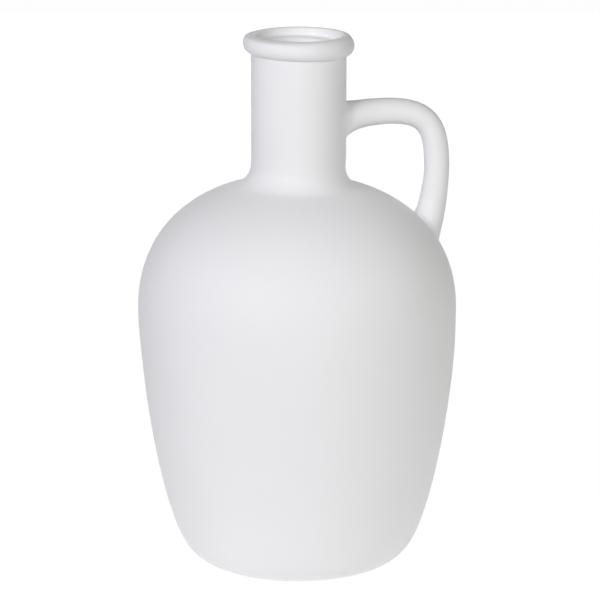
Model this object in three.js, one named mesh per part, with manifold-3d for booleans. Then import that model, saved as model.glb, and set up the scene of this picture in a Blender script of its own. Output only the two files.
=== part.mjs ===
// A ceramic bottle jug: a full body on a rounded heel, a domed shoulder, a straight neck with a rolled
// lip, and a round loop handle luted to the neck and the shoulder.
// Lengths are in millimetres. +Z is up, +X points to the handle, and the origin is the centre of the
// standing face. The jug is built as a potter joins it: base, lower wall, shoulder, neck, lip and
// handle are separate pieces that meet at luted faces.
import * as THREE from "three";
import { mergeVertices } from "three/addons/utils/BufferGeometryUtils.js";
import Module from "manifold-3d";

const wasm = await Module();
wasm.setup();

const degree = Math.PI / 180;

// Base and heel
const standingRadius = 42.4;
const standingWidth = 8;
const standingRecess = 1.5;
const heelRadius = 30.4;
const heelLean = 28.7 * degree;

// Belly and shoulder
const bellyRadius = 94.5;
const bellyHeight = 157.7;
const shoulderRise = 84.2;
const shoulderSlope = 16.3 * degree;
const bodyWall = 7;

// How far each end of the wall's and the shoulder's curve keeps its direction, as a share of its span
const wallPullLow = 0.2;
const wallPullHigh = 0.304;
const shoulderPullLow = 0.264;
const shoulderPullHigh = 0.86;

// Neck
const neckRadius = 28;
const neckFlare = 0.2;
const neckLength = 66.6;
const neckFillet = 13;

// Lip: a rolled bead on the neck's end, a little square at the top. Inside its crest the mouth's upright
// wall drops through a cove to a flat ledge round the bore
const lipHalfWidth = 5.6;
const lipHalfHeight = 5.8;
const lipInset = 0.95;
const crestSquareness = 2.5;
const mouthInset = 2.4;
const mouthRound = 1;
const ledgeDrop = 4.6;
const ledgeCove = 2.2;
const ledgeWidth = 7.5;
const boreRound = 0.6;

// Handle: its centre line starts on the neck, arches over and comes down on the shoulder
const handleDrop = 37.8;
const handleRise = 7.3 * degree;
const handleInset = 10.7;
const handleTurnDrop = 32.8;
const handleFootInset = 15.9;
const handleLean = 14.5 * degree;
const archPullOut = 0.84;
const archPullUp = 0.99;
const runPullHigh = 0.2;
const runPullLow = 0.35;
const gripNeck = 8;
const gripTurn = 7.45;
const gripFoot = 8.5;

// Luted flares: how far the clay swells where the handle meets the pot, and how soon that dies away
const neckFlareMean = 2.6;
const neckFlareUnder = 2;
const neckFlareReach = 5.8;
const footFlareMean = 1.4;
const footFlareUnder = 1;
const footFlareReach = 2.4;
const luteGap = 0.3;

// Facets: how many make each round, and the shortest and longest step along the handle
const roundSides = 60;
const handleSides = 20;
const heelFacets = 5;
const wallFacets = 8;
const shoulderFacets = 8;
const neckRootFacets = 5;
const beadFacets = 6;
const rimFacets = 3;
const coveFacets = 4;
const boreFacets = 2;
const fineStep = 1.6;
const coarseStep = 5;
const stepGrowth = 0.35;
const tolerance = 1e-6;

const shoulderTop = bellyHeight + shoulderRise;
const lipSeat = shoulderTop + neckLength;
const neckTopRadius = neckRadius + neckFlare;
const lipRadius = neckTopRadius - lipInset;
const mouthRadius = lipRadius - mouthInset;
const boreRadius = mouthRadius - ledgeWidth;
const heelTop = heelRadius * (1 - Math.sin(heelLean));
const rootLength = 2 * Math.max(gripNeck, gripFoot);

// A point of the upright half section with its outward normal and the wall's thickness there.
function place(r, z, normalR, normalZ, wall) {
  return { r, z, normalR, normalZ, wall };
}

// Evenly spaced shares from 0 to 1.
function shares(count) {
  return Array.from({ length: count + 1 }, (_, i) => i / count);
}

// Points on a cubic curve that leaves its start and reaches its end along the two pull points.
function curvePlaces(start, pullStart, pullEnd, end, count, wall) {
  const curve = new THREE.CubicBezierCurve(start, pullStart, pullEnd, end);
  return shares(count).map((share) => {
    const at = curve.getPoint(share);
    const along = curve.getTangent(share);
    return place(at.x, at.y, along.y, -along.x, wall);
  });
}

// The heel: a quarter round from the standing face up to where the wall leaves it.
function heelPlaces(count) {
  const sweep = Math.PI / 2 - heelLean;
  return shares(count).map((share) => {
    const down = Math.PI / 2 - sweep * share;
    const normalR = Math.cos(down);
    const normalZ = -Math.sin(down);
    const r = standingRadius + heelRadius * normalR;
    return place(r, heelRadius * (1 + normalZ), normalR, normalZ, bodyWall);
  });
}

function wallPlaces(count) {
  const heelEnd = new THREE.Vector2(
    standingRadius + heelRadius * Math.cos(heelLean),
    heelTop,
  );
  const belly = new THREE.Vector2(bellyRadius, bellyHeight);
  const rise = bellyHeight - heelTop;
  const outward = new THREE.Vector2(Math.sin(heelLean), Math.cos(heelLean));
  const pullLow = heelEnd.clone().addScaledVector(outward, wallPullLow * rise);
  const pullHigh = new THREE.Vector2(bellyRadius, bellyHeight - wallPullHigh * rise);
  return curvePlaces(heelEnd, pullLow, pullHigh, belly, count, bodyWall);
}

// The concave round that leads from the shoulder into the neck, its wall growing to the neck's.
function neckRootPlaces(count) {
  const centreR = neckRadius + neckFillet;
  const sweep = Math.PI / 2 - shoulderSlope;
  return shares(count).map((share) => {
    const up = sweep * (1 - share);
    const wall = THREE.MathUtils.lerp(bodyWall, neckRadius - boreRadius, share);
    const normalR = Math.cos(up);
    const normalZ = Math.sin(up);
    const r = centreR - neckFillet * normalR;
    return place(r, shoulderTop - neckFillet * normalZ, normalR, normalZ, wall);
  });
}

function shoulderPlaces(count) {
  const belly = new THREE.Vector2(bellyRadius, bellyHeight);
  const [root] = neckRootPlaces(neckRootFacets);
  const end = new THREE.Vector2(root.r, root.z);
  const pullLow = new THREE.Vector2(bellyRadius, bellyHeight + shoulderPullLow * shoulderRise);
  const reach = shoulderPullHigh * (bellyRadius - root.r);
  const downhill = new THREE.Vector2(Math.cos(shoulderSlope), -Math.sin(shoulderSlope));
  const pullHigh = end.clone().addScaledVector(downhill, reach);
  return curvePlaces(belly, pullLow, pullHigh, end, count, bodyWall);
}

function neckPlaces() {
  return [
    place(neckRadius, shoulderTop, 1, 0, neckRadius - boreRadius),
    place(neckTopRadius, lipSeat, 1, 0, neckTopRadius - boreRadius),
  ];
}

// The whole outline from the standing face to the lip seat, each stretch starting where the last ended.
const outline = [
  ...heelPlaces(heelFacets),
  ...wallPlaces(wallFacets).slice(1),
  ...shoulderPlaces(shoulderFacets).slice(1),
  ...neckRootPlaces(neckRootFacets).slice(1),
  ...neckPlaces().slice(1),
];

function outerPoint(at, grow = 0) {
  return new THREE.Vector2(at.r + at.normalR * grow, at.z + at.normalZ * grow);
}

const outerLine = outline.map((at) => outerPoint(at));
const innerLine = outline.map((at) => outerPoint(at, -at.wall));

function pointAtHeight(line, z) {
  const i = line.findIndex((p, k) => k > 0 && line[k - 1].y <= z && p.y >= z);
  const [a, b] = [line[i - 1], line[i]];
  return a.clone().lerp(b, (z - a.y) / (b.y - a.y)).setY(z);
}

// The part of a line between two heights, with its cut ends.
function between(line, low, high) {
  const inside = line.filter((p) => p.y > low + tolerance && p.y < high - tolerance);
  return [pointAtHeight(line, low), ...inside, pointAtHeight(line, high)];
}

// A profile of radius and height turned round the upright axis.
function turned(profile) {
  return new THREE.LatheGeometry(profile, roundSides).rotateX(Math.PI / 2);
}

function turnedRing(profile) {
  return turned([...profile, profile[0]]);
}

// A ring of the pot's wall between two level luting faces.
function wallRing(low, high) {
  return turnedRing([
    ...between(outerLine, low, high),
    ...between(innerLine, low, high).reverse(),
  ]);
}

// The base: a shallow dish whose underside is hollowed inside the ring it stands on.
function baseGeometry() {
  const recessRadius = standingRadius - standingWidth;
  const recessCorner = recessRadius - standingRecess;
  return turned([
    new THREE.Vector2(0, standingRecess),
    new THREE.Vector2(recessCorner, standingRecess),
    new THREE.Vector2(recessRadius, 0),
    ...between(outerLine, 0, heelTop),
    ...between(innerLine, bodyWall, heelTop).reverse(),
    new THREE.Vector2(0, bodyWall),
  ]);
}

// Part of an oval, between two angles. A squareness of 2 is a plain ellipse, and more fills its corners.
function ovalPoints(centre, halfWidth, halfHeight, from, to, count, squareness = 2) {
  const bend = (value) => Math.sign(value) * Math.abs(value) ** (2 / squareness);
  return shares(count).map((share) => {
    const angle = THREE.MathUtils.lerp(from, to, share);
    return new THREE.Vector2(
      centre.x + halfWidth * bend(Math.cos(angle)),
      centre.y + halfHeight * bend(Math.sin(angle)),
    );
  });
}

function roundPoints(centreR, centreZ, radius, from, to, count) {
  return ovalPoints(new THREE.Vector2(centreR, centreZ), radius, radius, from, to, count);
}

// The lip: the bead runs from its seat on the neck's edge round the outside and up to the crest. A small
// round leads from the crest into the mouth, whose wall comes down through the cove to the ledge, and
// the ledge rounds over into the bore.
function lipGeometry() {
  const right = Math.PI / 2;
  const seatAngle = Math.acos(lipInset / lipHalfWidth);
  const bead = new THREE.Vector2(lipRadius, lipSeat + lipHalfHeight * Math.sin(seatAngle));
  const top = bead.y + lipHalfHeight;
  const rimZ = top - mouthRound;
  const ledgeZ = top - ledgeDrop;
  const coveR = mouthRadius - ledgeCove;
  const edgeR = boreRadius + boreRound;
  return turnedRing([
    ...ovalPoints(bead, lipHalfWidth, lipHalfHeight, -seatAngle, 0, beadFacets),
    ...ovalPoints(bead, lipHalfWidth, lipHalfHeight, 0, right, beadFacets, crestSquareness).slice(1),
    ...roundPoints(mouthRadius + mouthRound, rimZ, mouthRound, right, 2 * right, rimFacets),
    ...roundPoints(coveR, ledgeZ + ledgeCove, ledgeCove, 0, -right, coveFacets),
    ...roundPoints(edgeR, ledgeZ - boreRound, boreRound, right, 2 * right, boreFacets),
    new THREE.Vector2(boreRadius, lipSeat),
  ]);
}

// Clearance from a point to the pot's outline, less than zero inside it.
function clearance(point) {
  const at = new THREE.Vector2(Math.hypot(point.x, point.y), point.z);
  let best = { distance: Infinity, side: 1 };
  outerLine.slice(1).forEach((b, i) => {
    const a = outerLine[i];
    const span = b.clone().sub(a);
    const share = THREE.MathUtils.clamp(at.clone().sub(a).dot(span) / span.lengthSq(), 0, 1);
    const off = at.clone().sub(a.clone().addScaledVector(span, share));
    const distance = off.length();
    if (distance < best.distance) {
      best = { distance, side: Math.sign(off.x * span.y - off.y * span.x) };
    }
  });
  return best.distance * best.side;
}

// The handle's centre line in the upright plane through the axis, with a straight root in the neck's
// wall at one end and in the shoulder's wall at the other.
function handlePath() {
  const neckEnd = new THREE.Vector3(neckTopRadius, 0, lipSeat - handleDrop);
  const out = new THREE.Vector3(Math.cos(handleRise), 0, Math.sin(handleRise));
  const turn = new THREE.Vector3(bellyRadius - handleInset, 0, neckEnd.z - handleTurnDrop);
  const footRadius = bellyRadius - handleFootInset;
  const shoulderLine = outerLine.filter((p) => p.y >= bellyHeight - tolerance);
  const above = shoulderLine.findIndex((p) => p.x <= footRadius);
  const [a, b] = [shoulderLine[above - 1], shoulderLine[above]];
  const footZ = THREE.MathUtils.mapLinear(footRadius, a.x, b.x, a.y, b.y);
  const foot = new THREE.Vector3(footRadius, 0, footZ);
  const down = new THREE.Vector3(-Math.sin(handleLean), 0, -Math.cos(handleLean));
  const run = turn.z - foot.z;
  const path = new THREE.CurvePath();
  path.add(new THREE.LineCurve3(neckEnd.clone().addScaledVector(out, -rootLength), neckEnd));
  path.add(
    new THREE.CubicBezierCurve3(
      neckEnd,
      neckEnd.clone().addScaledVector(out, archPullOut * (turn.x - neckEnd.x)),
      new THREE.Vector3(turn.x, 0, turn.z + archPullUp * handleTurnDrop),
      turn,
    ),
  );
  path.add(
    new THREE.CubicBezierCurve3(
      turn,
      new THREE.Vector3(turn.x, 0, turn.z - runPullHigh * run),
      foot.clone().addScaledVector(down, -runPullLow * run),
      foot,
    ),
  );
  path.add(new THREE.LineCurve3(foot, foot.clone().addScaledVector(down, rootLength)));
  return path;
}

// Lengths along the path at which it gets a ring, closest together where it enters the pot.
function handleStations(neckAt, footAt, total) {
  const stations = [];
  let at = 0;
  while (at < total - fineStep) {
    stations.push(at);
    const near = Math.min(Math.abs(at - neckAt), Math.abs(at - footAt));
    at += THREE.MathUtils.clamp(near * stepGrowth, fineStep, coarseStep);
  }
  return [...stations, total];
}

// How far the clay swells at a clearance from the pot: more on the loop's inner side than its outer.
function flare(mean, under, reach, angle, off) {
  return (mean - under * Math.sin(angle)) * Math.exp(-off / reach);
}

// The handle's rings of points: a round grip whose clay swells where it comes near the pot.
function handleRings() {
  const path = handlePath();
  const side = new THREE.Vector3(0, 1, 0);
  const [neckAt, turnAt, footAt, total] = path.getCurveLengths();
  return handleStations(neckAt, footAt, total).map((at) => {
    const share = at / total;
    const centre = path.getPoint(share);
    const along = path.getTangent(share);
    const up = new THREE.Vector3().crossVectors(along, side);
    const nearNeck = at < turnAt;
    const grip = nearNeck
      ? THREE.MathUtils.mapLinear(at, neckAt, turnAt, gripNeck, gripTurn)
      : THREE.MathUtils.mapLinear(at, turnAt, footAt, gripTurn, gripFoot);
    return shares(handleSides).slice(1).map((turn) => {
      const angle = 2 * Math.PI * turn;
      const out = up.clone().multiplyScalar(Math.sin(angle)).addScaledVector(side, Math.cos(angle));
      const bare = centre.clone().addScaledVector(out, grip);
      const off = Math.max(clearance(bare), 0);
      const swell = nearNeck
        ? flare(neckFlareMean, neckFlareUnder, neckFlareReach, angle, off)
        : flare(footFlareMean, footFlareUnder, footFlareReach, angle, off);
      return bare.addScaledVector(out, swell);
    });
  });
}

// A closed skin over rings of equally many points, with a flat fan at each end.
function loft(rings) {
  const sides = rings[0].length;
  const points = rings.flat();
  const faces = [];
  for (let i = 0; i + 1 < rings.length; i += 1) {
    for (let k = 0; k < sides; k += 1) {
      const next = (k + 1) % sides;
      const [a, b] = [i * sides + k, i * sides + next];
      faces.push(a, b, b + sides, a, b + sides, a + sides);
    }
  }
  const last = (rings.length - 1) * sides;
  for (let k = 1; k + 1 < sides; k += 1) {
    faces.push(0, k + 1, k);
    faces.push(last, last + k, last + k + 1);
  }
  const geometry = new THREE.BufferGeometry().setFromPoints(points);
  geometry.setIndex(faces);
  return geometry;
}

function toSolid(geometry) {
  const bare = geometry.clone();
  bare.deleteAttribute("normal");
  bare.deleteAttribute("uv");
  const merged = mergeVertices(bare);
  return new wasm.Manifold(
    new wasm.Mesh({
      numProp: 3,
      vertProperties: merged.attributes.position.array,
      triVerts: new Uint32Array(merged.index.array),
    }),
  );
}

function toGeometry(solid) {
  const mesh = solid.getMesh();
  const geometry = new THREE.BufferGeometry();
  geometry.setAttribute("position", new THREE.BufferAttribute(mesh.vertProperties, 3));
  geometry.setIndex(new THREE.BufferAttribute(mesh.triVerts, 1));
  geometry.computeVertexNormals();
  return geometry;
}

// The room that the handle keeps clear: the filled pot, grown by the luting gap.
function potRoom() {
  const grown = outline.map((at) => outerPoint(at, luteGap));
  const first = new THREE.Vector2(0, grown[0].y);
  const last = new THREE.Vector2(0, grown[grown.length - 1].y);
  return turned([first, ...grown, last]);
}

function handleGeometry() {
  return toGeometry(toSolid(loft(handleRings())).subtract(toSolid(potRoom())));
}

// Matte white ceramic, the same on every piece.
function whiteCeramic() {
  return new THREE.MeshStandardMaterial({ color: 0xeeeef0, roughness: 0.55, metalness: 0 });
}

const pieces = {
  base: baseGeometry(),
  lower_body: wallRing(heelTop, bellyHeight),
  shoulder: wallRing(bellyHeight, shoulderTop),
  neck: wallRing(shoulderTop, lipSeat),
  lip_ring: lipGeometry(),
};

const jug = new THREE.Group();
for (const [name, geometry] of Object.entries(pieces)) {
  const piece = new THREE.Mesh(geometry, whiteCeramic());
  piece.name = name;
  jug.add(piece);
}

const handle = new THREE.Mesh(handleGeometry(), whiteCeramic());
handle.name = "handle";
jug.add(handle);

export default jug;
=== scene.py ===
# A matte white ceramic bottle jug on a white studio floor.
import math

import bpy
import numpy as np
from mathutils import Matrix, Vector


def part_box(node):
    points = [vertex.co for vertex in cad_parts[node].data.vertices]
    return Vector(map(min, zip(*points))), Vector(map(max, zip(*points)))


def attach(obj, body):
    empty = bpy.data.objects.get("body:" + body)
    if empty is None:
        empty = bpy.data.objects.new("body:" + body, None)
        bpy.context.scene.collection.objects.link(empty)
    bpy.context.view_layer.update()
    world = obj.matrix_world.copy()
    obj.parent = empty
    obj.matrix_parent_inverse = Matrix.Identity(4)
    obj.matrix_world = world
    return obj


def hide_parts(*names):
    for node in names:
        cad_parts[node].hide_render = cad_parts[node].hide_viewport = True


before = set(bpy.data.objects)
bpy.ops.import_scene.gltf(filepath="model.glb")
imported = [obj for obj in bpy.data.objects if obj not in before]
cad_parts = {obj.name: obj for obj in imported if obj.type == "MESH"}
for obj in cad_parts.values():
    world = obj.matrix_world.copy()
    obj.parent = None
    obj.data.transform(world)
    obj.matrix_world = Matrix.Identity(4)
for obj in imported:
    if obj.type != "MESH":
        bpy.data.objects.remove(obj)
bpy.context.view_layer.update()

# Shapes are worked out in millimetres and written in metres.
MM = 0.001

# What is smaller than this counts as nothing.
TINY = 1e-9

# Body, as in the CAD model, with the heights and the greatest radius taken from its nodes
STANDING_RADIUS = 42.4
STANDING_WIDTH = 8.0
STANDING_RECESS = 1.5
STANDING_EDGE = 0.7
HEEL_RADIUS = 30.4
HEEL_LEAN = math.radians(28.7)
SHOULDER_SLOPE = math.radians(16.3)
BODY_WALL = 7.0
WALL_PULL_LOW = 0.2
WALL_PULL_HIGH = 0.304
SHOULDER_PULL_LOW = 0.264
SHOULDER_PULL_HIGH = 0.86
NECK_FLARE = 0.2
NECK_FILLET = 13.0

# Lip
LIP_HALF_WIDTH = 5.6
LIP_HALF_HEIGHT = 5.8
LIP_INSET = 0.95
LIP_FILLET = 0.5
CREST_SQUARENESS = 2.3
MOUTH_INSET = 2.4
MOUTH_ROUND = 2.2
LEDGE_DROP = 4.6
LEDGE_COVE = 2.2
LEDGE_WIDTH = 7.5
BORE_ROUND = 3.2

# Handle. Its line runs on into the pot by the root's length at each end.
HANDLE_DROP = 37.8
HANDLE_RISE = math.radians(7.3)
HANDLE_INSET = 10.7
HANDLE_TURN_DROP = 32.8
HANDLE_FOOT_INSET = 15.9
HANDLE_LEAN = math.radians(14.5)
ARCH_PULL_OUT = 0.84
ARCH_PULL_UP = 0.99
RUN_PULL_HIGH = 0.2
RUN_PULL_LOW = 0.35
GRIP_NECK = 8.0
GRIP_TURN = 7.45
GRIP_FOOT = 8.5
ROOT_LENGTH = 17.0

# Luted joints: the long swell of the clay, then a round where it runs into the pot. Each size is the
# mean of the loop's inner and outer sides, how much the inner side has more than that, and what the
# bar's two flanks have on top. The bar's ends are sunk into the pot's skin by the joint's depth.
NECK_SWELL = (2.6, 2.0, 0.0)
FOOT_SWELL = (0.9, 0.3, 0.0)
NECK_ROUND = (1.1, 0.0, 5.0)
FOOT_ROUND = (0.9, -0.2, 3.0)
NECK_SWELL_REACH = 5.8
FOOT_SWELL_REACH = 2.4
JOINT_DEPTH = 0.6

# The kiln's warp: above the belly the pot tilts down towards the handle, up to just under the level
# rim, and its foot and neck stand a little off the belly's axis, towards the handle
WARP_TILT = 0.03
WARP_START = 160.0
RIM_DEPTH = 2.0
FOOT_SHIFT = 0.55
FOOT_SHIFT_HEIGHTS = (120.0, 155.0)
NECK_SHIFT = 1.0
NECK_SHIFT_HEIGHTS = (225.0, 250.0)
HANDLE_SHIFT = 0.4

# Fineness of the turned meshes: steps round the axis, and along each stretch of the half section
TURN_STEPS = 240
HEEL_STEPS = 24
WALL_STEPS = 80
SHOULDER_STEPS = 90
NECK_STEPS = 30
NECK_ROOT_STEPS = 24
BEAD_STEPS = 32
CREST_STEPS = 40
LIP_BORE_STEPS = 4
BORE_ROUND_STEPS = 8
STANDING_EDGE_STEPS = 5
FILLET_STEPS_UNDER_SEAT = 4
FILLET_STEPS_OVER_SEAT = 6
FLAT_STEPS = 2
ROUND_STEPS = 12

# Fineness of the handle's mesh. The crowding says how much closer its rings lie at the two joints.
HANDLE_SIDES = 72
HANDLE_STEPS = 110
HANDLE_CROWDING = 0.6

# Points on a line that is only measured, and how often a shape is corrected until it has settled
DENSE = 600
UNWARP_PASSES = 4
JOINT_PASSES = 3

# The photograph's frame in pixels, and the camera that matches it, with its places in metres
PHOTO_SIDE = 600
SENSOR = 36.0
CAMERA_DISTANCE = 2.6735
CAMERA_FOCAL_PIXELS = 4497.0
CAMERA_AZIMUTH = math.radians(10.0)
CAMERA_ELEVATION = math.radians(13.01)
LOOK_HEIGHT = 0.1601
LOOK_SIDE = 0.00175

# Glaze. A scale is how many waves lie on a metre, and a depth is in metres.
OUTSIDE_TINTS = ((0.87, 0.87, 0.88, 1), (0.89, 0.89, 0.895, 1))
# The lining inside the mouth and bore is a glossier glaze, which is real. Its tints are lighter than
# the outside's as painted light, standing in for the brighter light that fills the mouth.
LINING_TINTS_WITH_PAINTED_LIGHT = ((0.92, 0.92, 0.93, 1), (0.94, 0.94, 0.95, 1))
GLAZE_IOR = 1.45
CLOUD_SCALE = 28.0
UNEVEN_SCALE = 45.0
UNEVEN_DEPTH = 0.0001
GRAIN_SCALE = 1800.0
GRAIN_DEPTH = 0.000008

# Floor, with its sizes in metres. It lies a little under the standing ring, so that no two faces share
# a place.
FLOOR_REACH = 8.0
FLOOR_GAP = 0.00005
FLOOR_PAINT = (0.8, 0.8, 0.8, 1)
FLOOR_SHADE = (0.08, 0.08, 0.08, 1)
FLOOR_GLOW = 0.98
WHITE = (1, 1, 1, 1)

# Light, with distances in metres. One lamp on the left is a touch cooler than white, and one on the
# right a touch warmer.
LAMP_DISTANCE = 2.0
PLAIN = (1.0, 1.0, 1.0)
COOL = (0.94, 0.9, 1.0)
WARM = (1.0, 1.0, 0.95)


def node_top(name):
    """The height of a node's top, in millimetres."""
    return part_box(name)[1].z / MM


def node_radius(name):
    """The greatest radius of a turned node, in millimetres."""
    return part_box(name)[1].x / MM


BELLY_RADIUS = node_radius("lower_body")
BELLY_HEIGHT = node_top("lower_body")
SHOULDER_TOP = node_top("shoulder")
LIP_SEAT = node_top("neck")
NECK_TOP_RADIUS = node_radius("neck")
NECK_RADIUS = NECK_TOP_RADIUS - NECK_FLARE
LIP_RADIUS = NECK_TOP_RADIUS - LIP_INSET
MOUTH_RADIUS = LIP_RADIUS - MOUTH_INSET
BORE_RADIUS = MOUTH_RADIUS - LEDGE_WIDTH
LIP_TOP = node_top("lip_ring")
BEAD_HEIGHT = LIP_TOP - LIP_HALF_HEIGHT
LEDGE_HEIGHT = LIP_TOP - LEDGE_DROP


def unit(vectors):
    """Vectors at a length of 1. One that has no length stays so."""
    length = np.linalg.norm(vectors, axis=-1, keepdims=True)
    return vectors / np.maximum(length, TINY)


def smoothstep(low, high, value):
    share = np.clip((value - low) / (high - low), 0, 1)
    return share * share * (3 - 2 * share)


def signed_power(values, power):
    return np.sign(values) * np.abs(values) ** power


# A stretch of the upright half section is two arrays: its points (radius, height) and outward normals.


def oval(centre, half_width, half_height, start, end, count, squareness=2.0):
    """Part of an oval, between two angles in degrees. A squareness over 2 fills out its corners."""
    angle = np.radians(np.linspace(start, end, count + 1))
    ring = np.stack([np.cos(angle), np.sin(angle)], axis=1)
    sizes = [half_width, half_height]
    points = np.array(centre) + signed_power(ring, 2 / squareness) * sizes
    return points, unit(signed_power(ring, 2 - 2 / squareness) / sizes)


def arc(centre, radius, start, end, count, outward=1):
    """Part of a circle, between two angles in degrees. Outward is -1 for a hollow round."""
    points, normals = oval(centre, radius, radius, start, end, count)
    return points, outward * normals


def line(start, end, count=1):
    """A straight stretch, with the material on its left as it runs."""
    share = np.linspace(0, 1, count + 1)[:, None]
    points = (1 - share) * np.array(start) + share * np.array(end)
    along = unit(points[-1] - points[0])
    return points, np.tile([along[1], -along[0]], (count + 1, 1))


def cubic(corners, count):
    """Points and directions along a cubic curve with four corners."""
    share = np.linspace(0, 1, count + 1)[:, None]
    a, b, c, d = (np.array(corner, float) for corner in corners)
    rest = 1 - share
    points = rest**3 * a + 3 * rest**2 * share * b + 3 * rest * share**2 * c + share**3 * d
    along = unit(rest**2 * (b - a) + 2 * rest * share * (c - b) + share**2 * (d - c))
    return points, along


def curve(corners, count):
    """A stretch along a cubic curve, with the material on its left as it runs."""
    points, along = cubic(corners, count)
    return points, np.stack([along[:, 1], -along[:, 0]], axis=1)


def touching_round(stretch, radius, centre_radius):
    """A round that touches a stretch from outside, its centre that far from the axis.

    Returns its centre, its angle where it touches, and the index of the touched point.
    """
    points, normals = stretch
    centres = points + radius * normals
    best = int(np.argmin(np.abs(centres[:, 0] - centre_radius)))
    back = points[best] - centres[best]
    return centres[best], math.degrees(math.atan2(back[1], back[0])), best


def inner(stretch, depths):
    """The wall's inside at the given depths under an outer stretch, running the other way."""
    points, normals = stretch
    return (points - normals * np.reshape(depths, (-1, 1)))[::-1], -normals[::-1]


def heel():
    """The round from the standing ring up to the wall."""
    centre = (STANDING_RADIUS, HEEL_RADIUS)
    return arc(centre, HEEL_RADIUS, -90, -math.degrees(HEEL_LEAN), HEEL_STEPS)


def wall():
    """The lower wall, from the heel up and out to the belly."""
    start = heel()[0][-1]
    rise = BELLY_HEIGHT - start[1]
    outward = np.array([math.sin(HEEL_LEAN), math.cos(HEEL_LEAN)])
    pull_low = start + WALL_PULL_LOW * rise * outward
    pull_high = (BELLY_RADIUS, BELLY_HEIGHT - WALL_PULL_HIGH * rise)
    return curve([start, pull_low, pull_high, (BELLY_RADIUS, BELLY_HEIGHT)], WALL_STEPS)


def neck_root():
    """The hollow round from the dome into the neck."""
    centre = (NECK_RADIUS + NECK_FILLET, SHOULDER_TOP)
    start = -90 - math.degrees(SHOULDER_SLOPE)
    return arc(centre, NECK_FILLET, start, -180, NECK_ROOT_STEPS, outward=-1)


def shoulder():
    """The dome, from the belly up to the neck's root."""
    end = neck_root()[0][0]
    rise = SHOULDER_TOP - BELLY_HEIGHT
    downhill = np.array([math.cos(SHOULDER_SLOPE), -math.sin(SHOULDER_SLOPE)])
    pull_low = (BELLY_RADIUS, BELLY_HEIGHT + SHOULDER_PULL_LOW * rise)
    pull_high = end + SHOULDER_PULL_HIGH * (BELLY_RADIUS - end[0]) * downhill
    return curve([(BELLY_RADIUS, BELLY_HEIGHT), pull_low, pull_high, end], SHOULDER_STEPS)


def bead(start, end, count, squareness=2.0):
    """Part of the lip's rolled bead, between two angles in degrees."""
    centre = (LIP_RADIUS, BEAD_HEIGHT)
    return oval(centre, LIP_HALF_WIDTH, LIP_HALF_HEIGHT, start, end, count, squareness)


def neck_and_lip():
    """Three runs of stretches: up the neck, over the lip from its seat, and down its inside."""
    seat, seat_end, seat_at = touching_round(
        bead(-90, 0, DENSE), LIP_FILLET, NECK_TOP_RADIUS + LIP_FILLET
    )
    split = 180 - math.degrees(math.asin((LIP_SEAT - seat[1]) / LIP_FILLET))
    neck = [
        line((NECK_RADIUS, SHOULDER_TOP), (NECK_TOP_RADIUS, seat[1]), NECK_STEPS),
        arc(seat, LIP_FILLET, 180, split, FILLET_STEPS_UNDER_SEAT, outward=-1),
    ]
    rim = (MOUTH_RADIUS + MOUTH_ROUND, LIP_TOP - MOUTH_ROUND)
    cove = (MOUTH_RADIUS - LEDGE_COVE, LEDGE_HEIGHT + LEDGE_COVE)
    edge = (BORE_RADIUS + BORE_ROUND, LEDGE_HEIGHT - BORE_ROUND)
    lip = [
        arc(seat, LIP_FILLET, split, seat_end, FILLET_STEPS_OVER_SEAT, outward=-1),
        bead(-90 + 90 * seat_at / DENSE, 0, BEAD_STEPS),
        bead(0, 90, CREST_STEPS, CREST_SQUARENESS),
        line((LIP_RADIUS, LIP_TOP), (rim[0], LIP_TOP), FLAT_STEPS),
    ]
    mouth = [
        arc(rim, MOUTH_ROUND, 90, 180, ROUND_STEPS),
        line((MOUTH_RADIUS, rim[1]), (MOUTH_RADIUS, cove[1]), FLAT_STEPS),
        arc(cove, LEDGE_COVE, 0, -90, ROUND_STEPS, outward=-1),
        line((cove[0], LEDGE_HEIGHT), (edge[0], LEDGE_HEIGHT), FLAT_STEPS),
        arc(edge, BORE_ROUND, 90, 180, BORE_ROUND_STEPS),
        line((BORE_RADIUS, edge[1]), (BORE_RADIUS, LIP_SEAT), LIP_BORE_STEPS),
    ]
    return neck, lip, mouth


def warp(points):
    """Where points of the true pot end up after the kiln."""
    height = points[..., 2]
    tilt = smoothstep(WARP_START, LIP_SEAT, height)
    tilt -= smoothstep(LIP_TOP - RIM_DEPTH, LIP_TOP, height)
    moved = points.copy()
    moved[..., 0] += FOOT_SHIFT * (1 - smoothstep(*FOOT_SHIFT_HEIGHTS, height))
    moved[..., 0] += NECK_SHIFT * smoothstep(*NECK_SHIFT_HEIGHTS, height)
    moved[..., 2] -= WARP_TILT * tilt * points[..., 0]
    return moved


def warp_normals(points, normals):
    """Normals after the kiln, by the warp's slopes along X and Z."""
    # Half a millimetre each way, so that a difference is the slope per millimetre
    reach = 0.5
    along_x, along_z = (
        warp(points + reach * axis) - warp(points - reach * axis) for axis in np.eye(3)[[0, 2]]
    )
    x = along_z[..., 2] * normals[..., 0] - along_x[..., 2] * normals[..., 2]
    z = along_x[..., 0] * normals[..., 2] - along_z[..., 0] * normals[..., 0]
    scale = along_x[..., 0] * along_z[..., 2] - along_x[..., 2] * along_z[..., 0]
    return unit(np.stack([x / scale, normals[..., 1], z / scale], axis=-1))


def unwarp(points):
    """The places before the kiln of points given after it."""
    before = points.copy()
    for _ in range(UNWARP_PASSES):
        before = before + points - warp(before)
    return before


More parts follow.
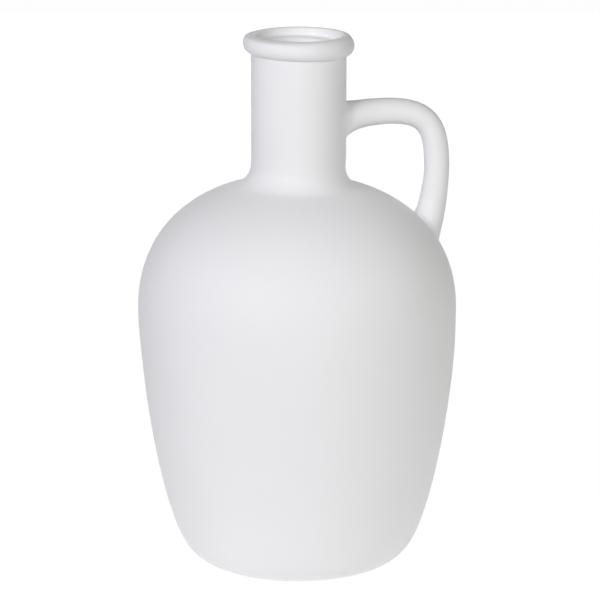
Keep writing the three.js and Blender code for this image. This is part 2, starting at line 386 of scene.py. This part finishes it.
def build(name, rings, low, high, closed):
    """A piece from rings of equally many points.

    Low and high are the normals of each band at its first and at its second ring. A closed piece's last
    band leads back to its first ring. A ring whose points are all one is a pole.
    """
    count, sides = rings.shape[:2]
    index = np.arange(count * sides).reshape(count, sides)
    poles = np.ptp(rings, axis=1).max(axis=-1) < TINY
    index[poles] = index[poles][:, :1]
    first = index if closed else index[:-1]
    second = np.roll(index, -1, axis=0) if closed else index[1:]
    quads = np.stack([first, np.roll(first, -1, 1), np.roll(second, -1, 1), second], axis=-1)
    normals = np.stack([low, np.roll(low, -1, 1), np.roll(high, -1, 1), high], axis=-2)
    quads = quads.reshape(-1, 4)
    # Beside a pole two corners are the same point, and one of them is left out.
    keep = quads != np.roll(quads, 1, axis=1)
    used, quads = np.unique(quads, return_inverse=True)
    quads = quads.reshape(-1, 4)
    points = rings.reshape(-1, 3)[used]
    faces = [list(dict.fromkeys(face)) for face in quads.tolist()]
    corner_normals = warp_normals(points[quads[keep]], normals.reshape(-1, 4, 3)[keep])
    mesh = bpy.data.meshes.new(name)
    mesh.from_pydata((warp(points) * MM).tolist(), [], faces)
    mesh.polygons.foreach_set("use_smooth", [True] * len(faces))
    mesh.normals_split_custom_set(corner_normals.tolist())
    piece = bpy.data.objects.new(name, mesh)
    bpy.context.scene.collection.objects.link(piece)
    return piece


def turned(name, outside, inside):
    """A closed profile turned round the upright axis. A dish's profile starts and ends on the axis.

    The inside's stretches get the second material.
    """
    stretches = outside + inside
    start_radius = stretches[0][0][0][0]
    closed = start_radius > TINY
    profile = np.vstack([points[:-1] for points, _ in stretches])
    if not closed:
        profile = np.vstack([profile, stretches[-1][0][-1]])
    low = np.vstack([normals[:-1] for _, normals in stretches])
    high = np.vstack([normals[1:] for _, normals in stretches])
    angle = np.linspace(0, 2 * math.pi, TURN_STEPS, endpoint=False)

    def spin(pairs):
        sideways = pairs[:, None, :1] * np.stack([np.cos(angle), np.sin(angle)], axis=1)
        upright = np.repeat(pairs[:, None, 1:], TURN_STEPS, axis=1)
        return np.concatenate([sideways, upright], axis=-1)

    piece = build(name, spin(profile), spin(low), spin(high), closed)
    bands = [sum(len(points) - 1 for points, _ in part) for part in (outside, inside)]
    materials = np.repeat([0, 1], np.array(bands) * TURN_STEPS)
    piece.data.polygons.foreach_set("material_index", materials)
    return piece


def make_base(name):
    """The floor and heel, with a standing ring round a recess, whose side leans 45 degrees."""
    ring_inside = STANDING_RADIUS - STANDING_WIDTH
    corner = ring_inside - STANDING_RECESS
    edge = (ring_inside + STANDING_EDGE * math.tan(math.pi / 8), STANDING_EDGE)
    edge_round = arc(edge, STANDING_EDGE, 225, 270, STANDING_EDGE_STEPS)
    inside = inner(heel(), BODY_WALL)
    outside = [
        line((0, STANDING_RECESS), (corner, STANDING_RECESS)),
        line((corner, STANDING_RECESS), edge_round[0][0]),
        edge_round,
        line(edge_round[0][-1], (STANDING_RADIUS, 0)),
        heel(),
        line(heel()[0][-1], inside[0][0]),
    ]
    return turned(name, outside, [inside, line(inside[0][-1], (0, BODY_WALL))])


def make_lower_body(name):
    """The wall from the heel up to the belly."""
    inside = inner(wall(), BODY_WALL)
    outside = [wall(), line(wall()[0][-1], inside[0][0])]
    return turned(name, outside, [inside, line(inside[0][-1], wall()[0][0])])


def make_shoulder(name):
    """The dome and the neck's root. In the root the wall goes over from the body's to the neck's."""
    root = neck_root()
    depths = np.linspace(BODY_WALL, NECK_RADIUS - BORE_RADIUS, len(root[0]))
    inside_root = inner(root, depths)
    inside = inner(shoulder(), BODY_WALL)
    outside = [shoulder(), root, line(root[0][-1], inside_root[0][0])]
    return turned(name, outside, [inside_root, inside, line(inside[0][-1], shoulder()[0][0])])


def make_neck(name):
    """The tube from the root up to the lip's seat."""
    neck, _, mouth = neck_and_lip()
    bore_top = mouth[-1][0][-1]
    bore_bottom = (BORE_RADIUS, SHOULDER_TOP)
    outside = [*neck, line(neck[-1][0][-1], bore_top)]
    inside = [line(bore_top, bore_bottom, NECK_STEPS), line(bore_bottom, neck[0][0][0])]
    return turned(name, outside, inside)


def make_lip(name):
    """The rolled bead, with the mouth, the ledge in it and the top of the bore."""
    _, lip, mouth = neck_and_lip()
    return turned(name, lip, [*mouth, line(mouth[-1][0][-1], lip[0][0][0])])


def pot_skin():
    """The outer half section from the belly to the lip, which the handle's ends follow."""
    neck, _, _ = neck_and_lip()
    parts = [shoulder(), neck_root(), neck[0]]
    return tuple(np.vstack([part[k] for part in parts]) for k in (0, 1))


def clearance(points, skin):
    """Each point's distance to the pot, less than zero inside it, and the pot's normal there."""
    skin_points, skin_normals = skin
    flat = points.reshape(-1, 3)
    at = np.stack([np.hypot(flat[:, 0], flat[:, 1]), flat[:, 2]], axis=1)
    start, span = skin_points[:-1], np.diff(skin_points, axis=0)
    length_squared = np.maximum((span**2).sum(1), TINY)
    off = at[:, None] - start
    share = np.clip((off * span).sum(-1) / length_squared, 0, 1)
    gap = ((off - share[..., None] * span) ** 2).sum(-1)
    best = gap.argmin(axis=1)
    share = share[np.arange(len(at)), best][:, None]
    near = start[best] + share * span[best]
    normal = unit((1 - share) * skin_normals[best] + share * skin_normals[best + 1])
    distance = ((at - near) * normal).sum(1)
    around = flat[:, :2] / np.maximum(at[:, :1], TINY)
    normal = np.hstack([normal[:, :1] * around, normal[:, 1:]])
    return distance.reshape(points.shape[:-1]), normal.reshape(points.shape)


def handle_line():
    """The handle's centre line: evenly spaced lengths along it, and its points there.

    Returns also its lengths at the neck, at the turn and at the foot.
    """
    skin_points, _ = pot_skin()
    foot_radius = BELLY_RADIUS - HANDLE_FOOT_INSET
    order = np.argsort(skin_points[:, 0])
    foot_height = np.interp(foot_radius, skin_points[order, 0], skin_points[order, 1])
    neck_end = np.array([NECK_TOP_RADIUS, LIP_SEAT - HANDLE_DROP])
    out = np.array([math.cos(HANDLE_RISE), math.sin(HANDLE_RISE)])
    turn = np.array([BELLY_RADIUS - HANDLE_INSET, neck_end[1] - HANDLE_TURN_DROP])
    foot = np.array([foot_radius, foot_height])
    down = np.array([-math.sin(HANDLE_LEAN), -math.cos(HANDLE_LEAN)])
    run = turn[1] - foot[1]
    arch_pulls = [
        neck_end + ARCH_PULL_OUT * (turn[0] - neck_end[0]) * out,
        turn + [0, ARCH_PULL_UP * HANDLE_TURN_DROP],
    ]
    run_pulls = [turn - [0, RUN_PULL_HIGH * run], foot - RUN_PULL_LOW * run * down]
    parts = [
        line(neck_end - ROOT_LENGTH * out, neck_end, DENSE)[0],
        cubic([neck_end, *arch_pulls, turn], DENSE)[0],
        cubic([turn, *run_pulls, foot], DENSE)[0],
        line(foot, foot + ROOT_LENGTH * down, DENSE)[0],
    ]
    path = np.vstack([part[:-1] for part in parts] + [parts[-1][-1:]])
    step = np.linalg.norm(np.diff(path, axis=0), axis=1)
    length = np.concatenate([[0], np.cumsum(step)])
    even = np.linspace(0, length[-1], DENSE)
    path = np.stack([np.interp(even, length, path[:, k]) for k in (0, 1)], axis=1)
    joints = [length[k * DENSE] for k in (1, 2, 3)]
    return even, np.stack([path[:, 0], np.zeros(len(path)), path[:, 1]], axis=1), joints


def bar_angles():
    """Angles round the handle's bar, with a sine of 1 on the loop's outer side and -1 on its inner."""
    return np.linspace(0, 2 * math.pi, HANDLE_SIDES, endpoint=False)


def joint_size(sizes):
    """A swell's or a round's size on each line along the bar."""
    mean, inside, flanks = sizes
    lift = np.sin(bar_angles())
    return mean - inside * lift + flanks * (1 - lift**2)


def plain_bar():
    """The handle as a round bar that runs on into the pot.

    Returns the lengths along it, its points and outward directions at each length and side, and the
    length at which it turns down.
    """
    at, path, (neck_at, turn_at, foot_at) = handle_line()
    path = unwarp(path + [HANDLE_SHIFT, 0, 0])
    side = np.array([0.0, 1.0, 0.0])
    up = np.cross(unit(np.gradient(path, axis=0)), side)
    angle = bar_angles()
    outward = np.sin(angle)[:, None] * up[:, None] + np.cos(angle)[:, None] * side
    grip_change = smoothstep(neck_at, turn_at, at) * (GRIP_TURN - GRIP_NECK)
    grip_change += smoothstep(turn_at, foot_at, at) * (GRIP_FOOT - GRIP_TURN)
    points = path[:, None] + outward * (GRIP_NECK + grip_change)[:, None, None]
    return at, points, outward, turn_at


def ring_places(at, gap, turn_at):
    """The lengths at which the handle's rings cross each line along the bar.

    The lines are cut where each reaches the pot. Returns also each ring's bend: 1 on the pot's skin,
    and 0 where the joint's round is left behind.
    """
    bend = np.sin(np.radians(np.linspace(90, 0, ROUND_STEPS + 1)))
    share = np.linspace(0, 1, HANDLE_STEPS + 1)[1:-1]
    share = share - HANDLE_CROWDING * np.sin(2 * math.pi * share) / (2 * math.pi)
    turn_index = int(np.searchsorted(at, turn_at))
    from_neck = slice(0, turn_index)
    from_foot = slice(None, turn_index - 1, -1)

    def leaving(part, column, size):
        """Lengths at which a line of the bar rises through a round of that size, from the pot on."""
        return np.interp(size * (1 - bend), np.maximum.accumulate(gap[part, column]), at[part])

    places = []
    rounds = zip(joint_size(NECK_ROUND), joint_size(FOOT_ROUND))
    for column, (neck_round, foot_round) in enumerate(rounds):
        neck_rows = leaving(from_neck, column, neck_round)
        foot_rows = leaving(from_foot, column, foot_round)[::-1]
        middle = neck_rows[-1] + share * (foot_rows[0] - neck_rows[-1])
        places.append(np.concatenate([neck_rows, middle, foot_rows]))
    return np.array(places).T, np.concatenate([bend, np.zeros(len(share)), bend[::-1]])


def sample(field, at, places):
    """A field given along the bar and round it, read at the rings' places."""
    columns = [
        np.stack([np.interp(places[:, k], at, field[:, k, axis]) for axis in range(3)], axis=1)
        for k in range(HANDLE_SIDES)
    ]
    return np.stack(columns, axis=1)


def run_into_pot(points, outward, bend, near_neck, skin):
    """The handle's points with the swell of its joints and the rounds that run tangent into the pot."""
    distance, pot_normal = clearance(points, skin)
    distance = np.maximum(distance, 0)
    swell = np.where(
        near_neck,
        joint_size(NECK_SWELL) * np.exp(-distance / NECK_SWELL_REACH),
        joint_size(FOOT_SWELL) * np.exp(-distance / FOOT_SWELL_REACH),
    )
    size = np.where(near_neck, joint_size(NECK_ROUND), joint_size(FOOT_ROUND))
    slide = unit(outward - (outward * pot_normal).sum(-1, keepdims=True) * pot_normal)
    spread = size * (1 - np.sqrt(np.maximum(1 - bend**2, 0)))
    target = size * (1 - bend)
    points = points + outward * swell[..., None] + slide * spread[..., None]
    for _ in range(JOINT_PASSES):
        distance, pot_normal = clearance(points, skin)
        points = points + pot_normal * (bend * (target - distance))[..., None]
    return points


def make_handle(name):
    """A round bar whose two ends swell and run tangent into the neck and the shoulder."""
    skin = pot_skin()
    at, bar, outward, turn_at = plain_bar()
    places, bend = ring_places(at, clearance(bar, skin)[0], turn_at)
    outward = unit(sample(outward, at, places))
    points = sample(bar, at, places)
    points = run_into_pot(points, outward, bend[:, None], places < turn_at, skin)
    _, pot_normal = clearance(points, skin)
    around = np.roll(points, -1, axis=1) - np.roll(points, 1, axis=1)
    normals = unit(np.cross(around, np.gradient(points, axis=0)))
    ends = [0, -1]
    normals[ends] = pot_normal[ends]
    sunk = points - JOINT_DEPTH * pot_normal
    poles = [np.tile(sunk[k].mean(axis=0), (HANDLE_SIDES, 1)) for k in ends]
    rings = np.stack([poles[0], sunk[0], *points, sunk[-1], poles[1]])
    # The two hidden bands at each end get no normals of their own.
    hidden = np.zeros((2, HANDLE_SIDES, 3))
    low = np.concatenate([hidden, normals[:-1], hidden])
    high = np.concatenate([hidden, normals[1:], hidden])
    return build(name, rings, low, high, closed=False)


def add_node(tree, kind, inputs=None, **settings):
    """A shader node with its settings and inputs. An input is a value, or an output to link from."""
    node = tree.nodes.new(kind)
    for name, value in settings.items():
        setattr(node, name, value)
    for name, value in (inputs or {}).items():
        if isinstance(value, bpy.types.NodeSocket):
            tree.links.new(value, node.inputs[name])
        else:
            node.inputs[name].default_value = value
    return node


def new_tree(owner):
    """The emptied shader tree of a material or of the world."""
    owner.use_nodes = True
    owner.node_tree.nodes.clear()
    return owner.node_tree


def glaze(name, tints, roughness, gloss):
    """White glaze: faint clouds between two tints, a slow unevenness and a fine grain."""
    material = bpy.data.materials.new(name)
    tree = new_tree(material)
    place = add_node(tree, "ShaderNodeTexCoord").outputs["Object"]

    def noise(scale, detail):
        inputs = {"Vector": place, "Scale": scale, "Detail": detail}
        return add_node(tree, "ShaderNodeTexNoise", inputs).outputs["Fac"]

    def bump(height, depth, under=None):
        inputs = {"Height": height, "Strength": 1.0, "Distance": depth}
        if under is not None:
            inputs["Normal"] = under
        return add_node(tree, "ShaderNodeBump", inputs).outputs["Normal"]

    # The mix takes its two colours in sockets 6 and 7, and gives the mixed one in output 2.
    clouds = {0: noise(CLOUD_SCALE, detail=3.0), 6: tints[0], 7: tints[1]}
    tint = add_node(tree, "ShaderNodeMix", clouds, data_type="RGBA").outputs[2]
    grain = noise(GRAIN_SCALE, detail=2.0)
    uneven = noise(UNEVEN_SCALE, detail=1.0)
    rough_range = {"Value": uneven, "To Min": roughness[0], "To Max": roughness[1]}
    rough = add_node(tree, "ShaderNodeMapRange", rough_range).outputs["Result"]
    uneven_normal = bump(uneven, UNEVEN_DEPTH)
    shader = add_node(
        tree,
        "ShaderNodeBsdfPrincipled",
        {
            "Base Color": tint,
            "Roughness": rough,
            "IOR": GLAZE_IOR,
            "Specular IOR Level": gloss,
            "Normal": bump(grain, GRAIN_DEPTH, under=uneven_normal),
        },
    )
    add_node(tree, "ShaderNodeOutputMaterial", {"Surface": shader.outputs["BSDF"]})
    return material


def lit_or_seen(tree, lit, seen):
    """A mix of two shaders: one for the light that comes off it, and one for the eye.

    The second is for rays from the camera, and for those that gloss or glass sends on.
    """
    path = add_node(tree, "ShaderNodeLightPath")
    share = path.outputs["Is Camera Ray"]
    for ray in ("Is Glossy Ray", "Is Transmission Ray"):
        either = {0: share, 1: path.outputs[ray]}
        share = add_node(tree, "ShaderNodeMath", either, operation="MAXIMUM").outputs["Value"]
    return add_node(tree, "ShaderNodeMixShader", {0: share, 1: lit, 2: seen}).outputs["Shader"]


def make_world():
    """White behind everything, for the eye and for gloss. It lights nothing."""
    world = bpy.data.worlds.new("studio")
    bpy.context.scene.world = world
    tree = new_tree(world)
    dark, white = (
        add_node(tree, "ShaderNodeBackground", {"Color": WHITE, "Strength": strength})
        for strength in (0.0, 1.0)
    )
    surface = lit_or_seen(tree, dark.outputs["Background"], white.outputs["Background"])
    add_node(tree, "ShaderNodeOutputWorld", {"Surface": surface})


def make_floor():
    """A white floor: plain paint for the light that it bounces, and near pure white to the eye."""
    mesh = bpy.data.meshes.new("floor")
    signs = ((-1, -1), (1, -1), (1, 1), (-1, 1))
    corners = [(x * FLOOR_REACH, y * FLOOR_REACH, -FLOOR_GAP) for x, y in signs]
    mesh.from_pydata(corners, [], [(0, 1, 2, 3)])
    material = bpy.data.materials.new("floor_white")
    tree = new_tree(material)
    paint = add_node(tree, "ShaderNodeBsdfDiffuse", {"Color": FLOOR_PAINT}).outputs["BSDF"]
    shade = add_node(tree, "ShaderNodeBsdfDiffuse", {"Color": FLOOR_SHADE}).outputs["BSDF"]
    glow = add_node(tree, "ShaderNodeEmission", {"Color": WHITE, "Strength": FLOOR_GLOW})
    seen = add_node(tree, "ShaderNodeAddShader", {0: shade, 1: glow.outputs["Emission"]})
    surface = lit_or_seen(tree, paint, seen.outputs["Shader"])
    add_node(tree, "ShaderNodeOutputMaterial", {"Surface": surface})
    mesh.materials.append(material)
    floor = bpy.data.objects.new("floor", mesh)
    bpy.context.scene.collection.objects.link(floor)


def direction(azimuth, elevation):
    """From the jug outwards: azimuth 0 is towards -Y, and grows towards +X."""
    flat = math.cos(elevation)
    return Vector((math.sin(azimuth) * flat, -math.cos(azimuth) * flat, math.sin(elevation)))


def aim(thing, target, back):
    """Puts a camera or lamp into the scene, that way back from a target and looking at it."""
    thing.location = target + back
    thing.rotation_euler = back.to_track_quat("Z", "Y").to_euler()
    bpy.context.scene.collection.objects.link(thing)


def make_camera():
    """The photograph's view."""
    data = bpy.data.cameras.new("camera")
    data.sensor_width = SENSOR
    data.lens = SENSOR * CAMERA_FOCAL_PIXELS / PHOTO_SIDE
    camera = bpy.data.objects.new("camera", data)
    right = Vector((math.cos(CAMERA_AZIMUTH), -math.sin(CAMERA_AZIMUTH), 0))
    target = LOOK_SIDE * right + Vector((0, 0, LOOK_HEIGHT))
    aim(camera, target, CAMERA_DISTANCE * direction(-CAMERA_AZIMUTH, CAMERA_ELEVATION))
    bpy.context.scene.camera = camera


def new_lamp(name, shape, power):
    """An area lamp that the camera doesn't see."""
    data = bpy.data.lights.new(name, "AREA")
    data.shape = shape
    data.energy = power
    lamp = bpy.data.objects.new(name, data)
    lamp.visible_camera = False
    return lamp


def softbox(name, side, height, size, power, colour=PLAIN, distance=LAMP_DISTANCE, in_gloss=True):
    """An area lamp aimed at the jug.

    Side is its angle from the camera, minus to the left, and height its angle up, both in degrees.
    """
    lamp = new_lamp(name, "RECTANGLE", power)
    lamp.data.size, lamp.data.size_y = size
    lamp.data.color = colour
    lamp.visible_glossy = in_gloss
    back = direction(math.radians(side) - CAMERA_AZIMUTH, math.radians(height))
    aim(lamp, Vector((0, 0, LOOK_HEIGHT)), distance * back)


def table_glow(radius, power):
    """The light that the white table under and around the jug throws back at it.

    Its lamp lies a millimetre over the floor and shines up.
    """
    lamp = new_lamp("table_glow", "DISK", power)
    lamp.data.size = 2 * radius
    lamp.location.z = MM
    lamp.rotation_euler.x = math.pi
    bpy.context.scene.collection.objects.link(lamp)


def make_lights():
    """Soft lamps matched to the photograph's light, one behind for the back, and the table's glow."""
    softbox("key_left", side=-35, height=20, size=(0.4, 0.4), power=6.8)
    softbox("side_left", side=-50, height=30, size=(0.8, 0.8), power=9.6, colour=COOL)
    softbox("front", side=0, height=35, size=(2.0, 0.6), power=14.1)
    softbox("fill_right", side=31, height=20, size=(0.5, 0.5), power=1.1)
    softbox("low_right", side=65, height=12, size=(0.3, 0.3), power=1.23, colour=WARM, distance=0.8)
    softbox("top_left", side=-45, height=70, size=(1.0, 1.0), power=4.1)
    softbox("back", side=180, height=6, size=(1.0, 0.6), power=12.0, in_gloss=False)
    table_glow(radius=0.3, power=0.24)


def make_jug():
    """The jug's pieces, each in the place of the node that it is named after."""
    outside = glaze("white_ceramic", OUTSIDE_TINTS, roughness=(0.42, 0.5), gloss=0.1)
    # The lining is a glossier glaze, and its tints are lightened as painted light for the brighter
    # light inside the mouth.
    inside = glaze("white_lining_with_painted_light", LINING_TINTS_WITH_PAINTED_LIGHT, roughness=(0.36, 0.42), gloss=0.45)
    makers = {
        "base": make_base,
        "lower_body": make_lower_body,
        "shoulder": make_shoulder,
        "neck": make_neck,
        "lip_ring": make_lip,
        "handle": make_handle,
    }
    for node, maker in makers.items():
        piece = maker("jug_" + node)
        piece.data.materials.append(outside)
        if node != "handle":
            piece.data.materials.append(inside)
        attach(piece, "root")
        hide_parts(node)


bpy.context.scene.view_settings.view_transform = "Standard"
make_jug()
make_floor()
make_world()
make_lights()
make_camera()
bpy.context.view_layer.update()
